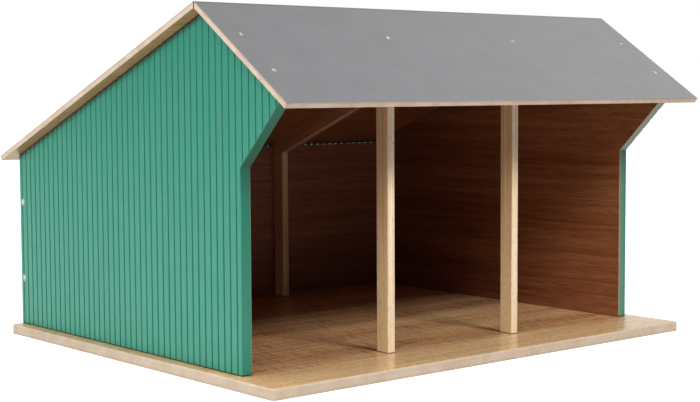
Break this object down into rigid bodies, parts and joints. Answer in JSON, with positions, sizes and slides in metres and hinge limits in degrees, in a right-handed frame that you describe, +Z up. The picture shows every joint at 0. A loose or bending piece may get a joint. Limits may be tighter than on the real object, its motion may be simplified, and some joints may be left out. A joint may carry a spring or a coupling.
{
  "type": "toy machine shed",
  "caption": "Open-fronted toy machine shed: floor board, grooved end walls and rear wall, uneven pitched roof on slender posts and rafters, held together by countersunk screws.",
  "frame": {"origin": "on the ground, under the middle of the roof's plan (centre of the bounding box's underside)", "axes": "+X along the open front to the right as seen from the front, +Y from the open front to the rear wall, +Z up"},
  "size_m": [0.44, 0.4064, 0.2725],
  "materials": {
    "oak_laminate_board": "satin oak-look laminate on board",
    "green_painted_board": "satin green paint on grooved fibreboard",
    "grey_laminate_board": "matte grey laminate on fibreboard",
    "beech": "planed beech, unvarnished",
    "zinc_screw": "bright zinc plate"
  },
  "bodies": {
    "root": {"base_board": "oak_laminate_board", "left_end_wall": "green_painted_board", "right_end_wall": "green_painted_board", "rear_wall": "green_painted_board", "roof_front_panel": "grey_laminate_board", "roof_rear_panel": "grey_laminate_board", "front_post_left": "beech", "front_post_right": "beech", "rear_post_left": "beech", "rear_post_right": "beech", "rafter_left": "beech", "rafter_right": "beech", "rafter_dowels": "beech", "front_panel_wall_screws": "zinc_screw", "front_panel_post_screws": "zinc_screw", "rear_panel_wall_screws": "zinc_screw", "rear_panel_rafter_screws": "zinc_screw", "left_wall_screws": "zinc_screw", "right_wall_screws": "zinc_screw", "rear_wall_post_screws": "zinc_screw", "floor_end_wall_screws": "zinc_screw", "floor_rear_wall_screws": "zinc_screw", "floor_post_screws": "zinc_screw"}
  },
  "joints": []
}
